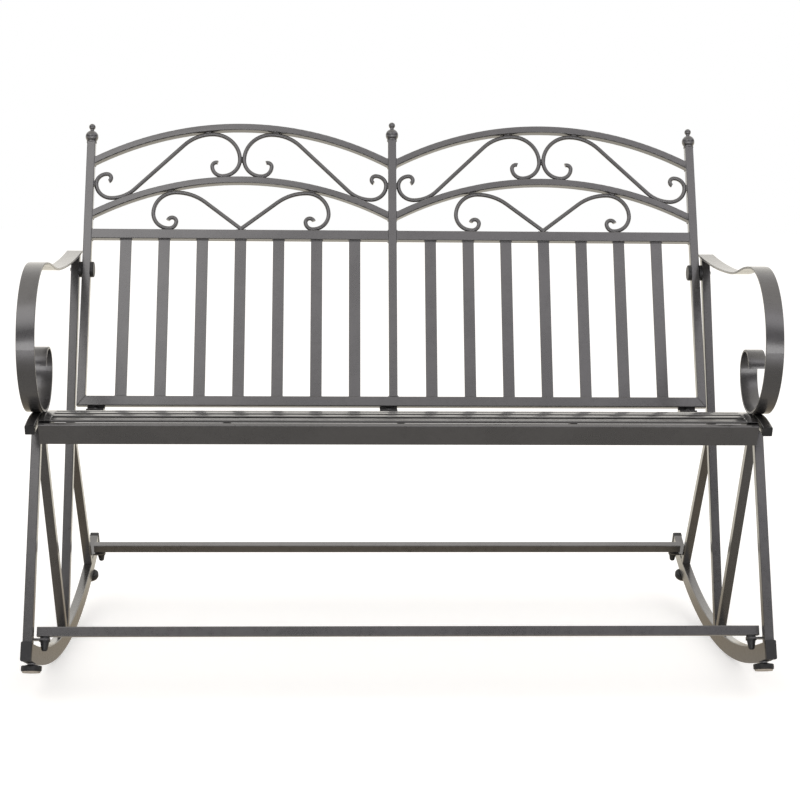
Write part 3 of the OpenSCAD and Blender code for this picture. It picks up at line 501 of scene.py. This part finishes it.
class BENCH_OT_finish_ornament(bpy.types.Operator):
    """Finish the scrolls of round bar and the ball finials"""

    bl_idname = "bench.finish_ornament"
    bl_label = "Scrolls and Finials"
    bl_options = {"REGISTER", "UNDO"}

    def execute(self, context):
        return finish_solids("upper_scrolls", "lower_scrolls", "finials")


class BENCH_OT_finish_feet(bpy.types.Operator):
    """Finish the stop feet and their pads"""

    bl_idname = "bench.finish_feet"
    bl_label = "Stop Feet"
    bl_options = {"REGISTER", "UNDO"}

    def execute(self, context):
        return finish_solids(*(foot + part for foot in FEET for part in ("_foot", "_pad")))


# Geometry trees


class Tree:
    """A geometry tree with named inputs, whose nodes are added one by one."""

    def __init__(self, name, inputs):
        self.tree = bpy.data.node_groups.new(name, "GeometryNodeTree")
        sockets = self.tree.interface
        sockets.new_socket("Geometry", in_out="INPUT", socket_type="NodeSocketGeometry")
        self.keys = {label: sockets.new_socket(label, in_out="INPUT", socket_type=kind).identifier
                     for label, kind in inputs.items()}
        sockets.new_socket("Geometry", in_out="OUTPUT", socket_type="NodeSocketGeometry")
        self.start = self.tree.nodes.new("NodeGroupInput")

    def input(self, label="Geometry"):
        return self.start.outputs[label]

    def node(self, kind, options=None, values=None):
        made = self.tree.nodes.new(kind)
        for key, value in (options or {}).items():
            setattr(made, key, value)
        for key, value in (values or {}).items():
            if isinstance(value, bpy.types.NodeSocket):
                self.tree.links.new(value, made.inputs[key])
            else:
                made.inputs[key].default_value = value
        return made.outputs[0]

    def math(self, operation, first, second):
        return self.node("ShaderNodeMath", {"operation": operation}, {0: first, 1: second})

    def finish(self, geometry):
        """Ends in real geometry with the material input."""
        real = self.node("GeometryNodeRealizeInstances", {}, {0: geometry})
        coated = self.node("GeometryNodeSetMaterial", {}, {
            "Geometry": real, "Material": self.input("Material")})
        end = self.tree.nodes.new("NodeGroupOutput")
        self.tree.links.new(coated, end.inputs[0])


def grow(name, tree, seed_mesh, values):
    """Plain mesh that a geometry tree makes of a seed mesh, as a new object."""
    holder = add_object(name + "_seed", seed_mesh)
    step = holder.modifiers.new("tree", "NODES")
    step.node_group = tree.tree
    for label, value in values.items():
        step[tree.keys[label]] = value
    bpy.context.view_layer.update()
    made = bpy.data.meshes.new_from_object(holder.evaluated_get(bpy.context.evaluated_depsgraph_get()))
    bpy.data.objects.remove(holder)
    bpy.data.meshes.remove(seed_mesh)
    if not made.polygons:
        raise RuntimeError(name + " came out empty")
    made.name = name
    return add_object(name, made)


BEAD_SIDES = 8
BEAD_SWELLS = 420.0
SWELL_GAIN = 3.0
BEAD_SEED = 7


def bead_tree():
    """Weld beads along the seed's edges, swelling and narrowing as they go."""
    tree = Tree("weld_bead", {
        "Radius": "NodeSocketFloat", "Ripple": "NodeSocketFloat", "Step": "NodeSocketFloat",
        "Seed": "NodeSocketInt", "Material": "NodeSocketMaterial"})
    curve = tree.node("GeometryNodeMeshToCurve", {}, {0: tree.input()})
    curve = tree.node("GeometryNodeResampleCurve", {"mode": "LENGTH"}, {
        "Curve": curve, "Length": tree.input("Step")})
    place = tree.node("GeometryNodeInputPosition")
    drift = tree.node("ShaderNodeTexNoise", {"noise_dimensions": "4D"}, {
        "Vector": place, "W": tree.input("Seed"), "Scale": BEAD_SWELLS, "Detail": 1.0})
    swell = tree.math("MULTIPLY", tree.math("SUBTRACT", drift, 0.5), tree.input("Ripple"))
    share = tree.math("ADD", tree.math("MULTIPLY", swell, SWELL_GAIN), 1.0)
    size = tree.math("MULTIPLY", share, tree.input("Radius"))
    ring = tree.node("GeometryNodeCurvePrimitiveCircle", {}, {"Resolution": BEAD_SIDES, "Radius": 1.0})
    bead = tree.node("GeometryNodeCurveToMesh", {}, {
        "Curve": curve, "Profile Curve": ring, "Scale": size, "Fill Caps": True})
    tree.finish(tree.node("GeometryNodeSetShadeSmooth", {}, {"Geometry": bead}))
    return tree


# Places of the welds, in millimetres of the same plan as the solids

LEAN = math.radians(21.06)
PIVOT = (190.5, 680.0)
POST_LOW = 270.0
POST_X, TUBE = 587.0, 16.0
RAIL_H, MID_T = 19.0, 331.3
SLAT_W, SLAT_T, SLAT_END_GAP, SLATS = 22.0, 4.0, 54.3, 7
ARCH_H = 13.0
LOW_ARCH, UP_ARCH = (389.5, 70.4), (498.8, 71.2)
PANEL_X, PANEL_HALF = POST_X / 2, POST_X / 2 - TUBE / 2
PANELS = (-PANEL_X, PANEL_X)
SIDES = (-1, 1)

# Scrolls: half the bar with its gap, then the radii of their bends and where the low ones stand

ROD, WELD_GAP = 8.0, 0.1
TOUCH = ROD / 2 + WELD_GAP
TALL_FOOT_R, TALL_LOW_BEND, TALL_UP_BEND, TALL_LOOP_R = 29.5, 63.0, 80.0, 53.0
LOW_LOOP_R, LOW_LOOP_X, LOW_START_X = 43.0, -126.6, -5.0

# Beads: how far they end from a tube's face or corner, and the short ones at the scrolls

BEAD_INSET, MITRE_INSET = 0.6, 1.0
SCROLL_BEAD_HALF, SCROLL_BEAD_D = 5.0, 1.6


def on_back(x, t, d):
    """Point of the back's own plan: across, up along the posts, and to the rear."""
    y = PIVOT[0] - POST_LOW * math.sin(LEAN) + t * math.sin(LEAN) + d * math.cos(LEAN)
    z = PIVOT[1] - POST_LOW * math.cos(LEAN) + t * math.cos(LEAN) - d * math.sin(LEAN)
    return Vector((x, y, z)) * MM


def arch_circle(ends_t, rise):
    """Radius and centre height of an arch's top."""
    radius = (PANEL_HALF ** 2 + rise ** 2) / (2 * rise)
    return radius, ends_t + rise - radius


def box_loop(x, t, w, d):
    """Loop round a bar that ends on a rail at height t."""
    corners = [on_back(x + i * w / 2, t, j * d / 2) for i, j in ((-1, -1), (1, -1), (1, 1), (-1, 1))]
    return corners + corners[:1]


def slat_beads():
    """Round both ends of every back slat."""
    pitch = (2 * (PANEL_HALF - SLAT_END_GAP) - SLAT_W) / (SLATS - 1)
    for panel in PANELS:
        for i in range(SLATS):
            x = panel + (i - (SLATS - 1) / 2) * pitch
            for t in (RAIL_H, MID_T):
                yield box_loop(x, t, SLAT_W, SLAT_T)


def corner_beads():
    """Fillets above and below the rails and arches where they meet the posts."""
    reach = TUBE / 2 - BEAD_INSET
    heights = [MID_T, MID_T + RAIL_H, RAIL_H]
    for ends_t, rise in (LOW_ARCH, UP_ARCH):
        radius, centre = arch_circle(ends_t, rise)
        inner = radius - ARCH_H
        heights += [ends_t, centre + math.sqrt(inner ** 2 - PANEL_HALF ** 2)]
    for panel in PANELS:
        for side in SIDES:
            for t in heights:
                x = panel + side * PANEL_HALF
                yield [on_back(x, t, -reach), on_back(x, t, reach)]


def mitre_beads():
    """Along the mitres at the feet of the outer posts, front and rear."""
    reach = TUBE / 2 - BEAD_INSET
    for side in SIDES:
        for d in (-reach, reach):
            yield [on_back(side * (POST_X + TUBE / 2 - MITRE_INSET), MITRE_INSET, d),
                   on_back(side * (POST_X - TUBE / 2), RAIL_H, d)]


def bend_on_arch(radius, centre, bend, x):
    """Height of a bend's crown against an arch's face, and their touch: across, height, direction.

    The bend's radius is positive where it lies on top of the face and negative where it hangs below.
    """
    reach = radius + bend + math.copysign(TOUCH, bend)
    crown = centre - bend + math.sqrt(reach ** 2 - x ** 2)
    angle = math.atan2(x, crown + bend - centre)
    return crown, (radius * math.sin(angle), centre + radius * math.cos(angle), -angle)


def scroll_touches():
    """Places where a scroll meets its neighbours: across from the panel's middle, height, direction."""
    low_r, low_c = arch_circle(*LOW_ARCH)
    up_r, up_c = arch_circle(*UP_ARCH)
    foot, touch = bend_on_arch(low_r, low_c, TALL_LOW_BEND, -PANEL_HALF + TOUCH + TALL_FOOT_R)
    yield touch
    yield -PANEL_HALF, foot + TALL_FOOT_R, math.pi / 2
    top, touch = bend_on_arch(up_r - ARCH_H, up_c, -TALL_UP_BEND, -TOUCH - TALL_LOOP_R)
    yield touch
    yield 0.0, top - TALL_LOOP_R, math.pi / 2
    top, touch = bend_on_arch(low_r - ARCH_H, low_c, -LOW_LOOP_R, LOW_LOOP_X)
    yield touch
    foot_r = top - LOW_LOOP_R - MID_T - RAIL_H - TOUCH
    yield LOW_LOOP_X - LOW_LOOP_R + foot_r, MID_T + RAIL_H, 0.0
    yield LOW_START_X, MID_T + RAIL_H, 0.0


def scroll_beads():
    """Short beads in front of and behind each touch."""
    for u, t, angle in scroll_touches():
        across, up = SCROLL_BEAD_HALF * math.cos(angle), SCROLL_BEAD_HALF * math.sin(angle)
        for panel in PANELS:
            for side in SIDES:
                for d in (-SCROLL_BEAD_D, SCROLL_BEAD_D):
                    yield [on_back(panel + side * (u + end * across), t + end * up, d) for end in (-1, 1)]


def seed_of(name, paths):
    """Mesh of loose edges along paths; a path that ends where it starts is closed."""
    bm = bmesh.new()
    for path in paths:
        closed = path[0] == path[-1]
        verts = [bm.verts.new(point) for point in (path[:-1] if closed else path)]
        if closed:
            verts.append(verts[0])
        for first, second in zip(verts, verts[1:]):
            bm.edges.new((first, second))
    mesh = bpy.data.meshes.new(name)
    bm.to_mesh(mesh)
    bm.free()
    return mesh


class BENCH_OT_add_welds(bpy.types.Operator):
    """Lay the weld beads of the back"""

    bl_idname = "bench.add_welds"
    bl_label = "Weld Beads"
    bl_options = {"REGISTER", "UNDO"}

    def execute(self, context):
        look = settings("bench_piece")
        tree = bead_tree()
        for name, paths, share in (
            ("slat_weld_beads", slat_beads(), 1.0),
            ("corner_weld_beads", corner_beads(), 1.1),
            ("mitre_weld_beads", mitre_beads(), 0.9),
            ("scroll_weld_beads", scroll_beads(), 1.5),
        ):
            piece = grow(name, tree, seed_of(name + "_paths", paths), {
                "Radius": look.bead_radius * share, "Ripple": look.bead_ripple, "Step": look.bead_step,
                "Seed": BEAD_SEED, "Material": finish_for("frame_paint")})
            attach(piece, MAIN_BODY)
        return {"FINISHED"}


# Stage

SENSOR_WIDTH = 36.0
CLIP_START, CLIP_END = 0.05, 60.0
FLOOR_HALF = 30.0
FLOOR_PAINT = (0.86, 0.84, 0.81, 1.0)
FLOOR_GLOW = 0.42

# Where the mirrored floor changes between its lit glow and its painted shade, from front to rear in metres

NEAR_EDGE, UNDER_EDGE, BACK_EDGE = (-2.9, -1.0), (-0.55, 0.1), (0.1, 1.1)

# Where the mirrored studio changes, as parts of a direction: across, to the back and up

ACROSS_EDGE = (-0.6, 0.6)
BACKDROP_EDGE = (0.25, 0.85)
HORIZON_EDGE, SOFTBOX_EDGE, CEILING_EDGE = (0.04, 0.20), (0.38, 0.60), (0.70, 0.95)

# Tints of the studio's left and right

LEFT_SOFTBOX_TINT, RIGHT_SOFTBOX_TINT = (1.0, 0.99, 0.96), (0.97, 0.95, 1.0)
RIGHT_LOW_TINT = (0.97, 0.96, 1.06)

# Lamps: name, place, width and height, and share of the lamp power; all point at the same place

LAMPS = (
    ("key_softbox", (-1.8, -3.0, 3.2), (2.4, 2.4), 1.0),
    ("fill_softbox", (2.4, -2.6, 2.4), (2.4, 2.4), 0.6),
    ("back_softbox", (0.0, 2.8, 3.0), (2.4, 2.4), 0.5),
    ("front_strip_light", (0.0, -5.0, 0.55), (4.8, 1.0), 2.2),
)
LAMP_AIM = (0.0, 0.0, 0.5)


class BENCH_OT_build_stage(bpy.types.Operator):
    """Stand the camera, the floor and the lamps"""

    bl_idname = "bench.build_stage"
    bl_label = "Stage"
    bl_options = {"REGISTER", "UNDO"}

    def execute(self, context):
        look = settings("bench_stage")
        self.stand_camera(context.scene, look)
        self.lay_floor(look)
        self.light_world(context.scene, look)
        self.hang_lamps(look)
        context.scene.view_settings.view_transform = "Standard"
        return {"FINISHED"}

    def stand_camera(self, scene, look):
        """Camera at the photograph's place, turned, tilted and rolled."""
        data = bpy.data.cameras.new("photo_camera")
        data.sensor_width = SENSOR_WIDTH
        data.lens = look.camera_focus * SENSOR_WIDTH / PHOTO_SIDE
        data.clip_start, data.clip_end = CLIP_START, CLIP_END
        camera = add_object("photo_camera", data)
        yaw, pitch, roll = look.camera_yaw, look.camera_pitch, look.camera_roll
        ahead = Vector((math.sin(yaw) * math.cos(pitch), math.cos(yaw) * math.cos(pitch), -math.sin(pitch)))
        right = Vector((math.cos(yaw), -math.sin(yaw), 0.0))
        up = right.cross(ahead)
        side = right * math.cos(roll) + up * math.sin(roll)
        top = up * math.cos(roll) - right * math.sin(roll)
        turn = Matrix((side, top, -ahead)).transposed().to_4x4()
        camera.matrix_world = Matrix.Translation(Vector(look.camera_place)) @ turn
        scene.camera = camera

    def lay_floor(self, look):
        """Pale floor, seen white with its shadow; mirrored as a glow with painted shade in front of and under
        the bench, and brighter under the backdrop.
        """
        mesh = bpy.data.meshes.new("studio_floor")
        bm = bmesh.new()
        bmesh.ops.create_grid(bm, x_segments=2, y_segments=2, size=FLOOR_HALF)
        bm.to_mesh(mesh)
        bm.free()
        f = Finish("studio_floor_paint")
        _x, y, _z = f.axes(f.place())
        # Painted shade: the floor that metal mirrors glows darker in front of the bench and darker and
        # browner under it, standing in for the bench's shadow
        near = f.mix(y.between(*NEAR_EDGE), rgba(look.far_floor), rgba(look.near_floor_painted_shade))
        under = f.mix(y.between(*UNDER_EDGE), near, rgba(look.under_floor_painted_shadow))
        mirrored = f.mix(y.between(*BACK_EDGE), under, rgba(look.back_floor))
        paint = f.node("ShaderNodeBsdfDiffuse", {}, {"Color": FLOOR_PAINT})
        glow = f.node("ShaderNodeEmission", {}, {"Color": WHITE, "Strength": FLOOR_GLOW})
        seen = f.node("ShaderNodeAddShader", {}, {0: paint, 1: glow})
        shown = f.node("ShaderNodeEmission", {}, {"Color": mirrored, "Strength": 1.0})
        lit = f.blend(f.light_path("Is Camera Ray"), paint, seen)
        f.end(f.blend(f.mirror_ray(), lit, shown))
        mesh.materials.append(f.material)
        add_object("studio_floor", mesh)

    def light_world(self, scene, look):
        """White where seen, the lit studio where metal mirrors it, and even light for the rest."""
        world = bpy.data.worlds.new("studio_sky")
        scene.world = world
        g = Graph(world, "ShaderNodeOutputWorld")
        x, y, z = g.axes(g.place("Generated"))
        across = x.between(*ACROSS_EDGE)
        low = g.mix(across, rgba(look.low_light), tint(look.low_light, RIGHT_LOW_TINT))
        front = g.mix(across, tint(look.front_light, LEFT_SOFTBOX_TINT),
                      tint(look.front_light, RIGHT_SOFTBOX_TINT))
        low = g.mix(z.between(*HORIZON_EDGE), rgba(look.far_floor), low)
        high = g.mix(z.between(*SOFTBOX_EDGE), low, front)
        high = g.mix(z.between(*CEILING_EDGE), high, rgba(look.ceiling_light))
        around = g.mix(y.between(*BACKDROP_EDGE), high, rgba(look.back_light))
        fill, shown, white = (
            g.node("ShaderNodeBackground", {}, {"Color": color, "Strength": 1.0})
            for color in (rgba(look.fill_light), around, WHITE))
        g.end(g.blend(g.light_path("Is Camera Ray"), g.blend(g.mirror_ray(), fill, shown), white))

    def hang_lamps(self, look):
        """Soft lamps round the bench."""
        for name, place, size, share in LAMPS:
            lamp = bpy.data.lights.new(name, "AREA")
            lamp.shape = "RECTANGLE"
            lamp.size, lamp.size_y = size
            lamp.energy = look.lamp_power * share
            holder = add_object(name, lamp)
            holder.location = place
            holder.rotation_mode = "QUATERNION"
            holder.rotation_quaternion = (Vector(LAMP_AIM) - Vector(place)).to_track_quat("-Z", "Y")


# Panel and registration


class BENCH_PT_looks(bpy.types.Panel):
    """Settings and steps of the bench's looks"""

    bl_idname = "BENCH_PT_looks"
    bl_label = "Rocking Bench"
    bl_space_type = "VIEW_3D"
    bl_region_type = "UI"
    bl_category = "Bench"

    def draw(self, context):
        for group in GROUPS:
            box = self.layout.box()
            values = settings(group)
            for key in values.bl_rna.properties.keys():
                if key not in ("rna_type", "name"):
                    box.prop(values, key)
        for step in OPERATORS:
            self.layout.operator(step.bl_idname)


GROUPS = {
    "bench_coat": BenchCoatSettings,
    "bench_piece": BenchPieceSettings,
    "bench_stage": BenchStageSettings,
}
OPERATORS = (
    BENCH_OT_finish_runners, BENCH_OT_finish_legs, BENCH_OT_finish_armrests, BENCH_OT_finish_stretchers,
    BENCH_OT_finish_seat, BENCH_OT_finish_back, BENCH_OT_finish_ornament, BENCH_OT_finish_feet,
    BENCH_OT_add_welds, BENCH_OT_build_stage,
)
CLASSES = (*GROUPS.values(), *OPERATORS, BENCH_PT_looks)


def register():
    for cls in CLASSES:
        bpy.utils.register_class(cls)
    for name, cls in GROUPS.items():
        setattr(bpy.types.Scene, name, PointerProperty(type=cls))


def unregister():
    for name in GROUPS:
        delattr(bpy.types.Scene, name)
    for cls in reversed(CLASSES):
        bpy.utils.unregister_class(cls)


def main():
    """Registers the classes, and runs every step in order."""
    register()
    bpy.ops.bench.finish_runners()
    bpy.ops.bench.finish_legs()
    bpy.ops.bench.finish_armrests()
    bpy.ops.bench.finish_stretchers()
    bpy.ops.bench.finish_seat()
    bpy.ops.bench.finish_back()
    bpy.ops.bench.finish_ornament()
    bpy.ops.bench.finish_feet()
    bpy.ops.bench.add_welds()
    bpy.ops.bench.build_stage()


if __name__ == "__main__":
    main()
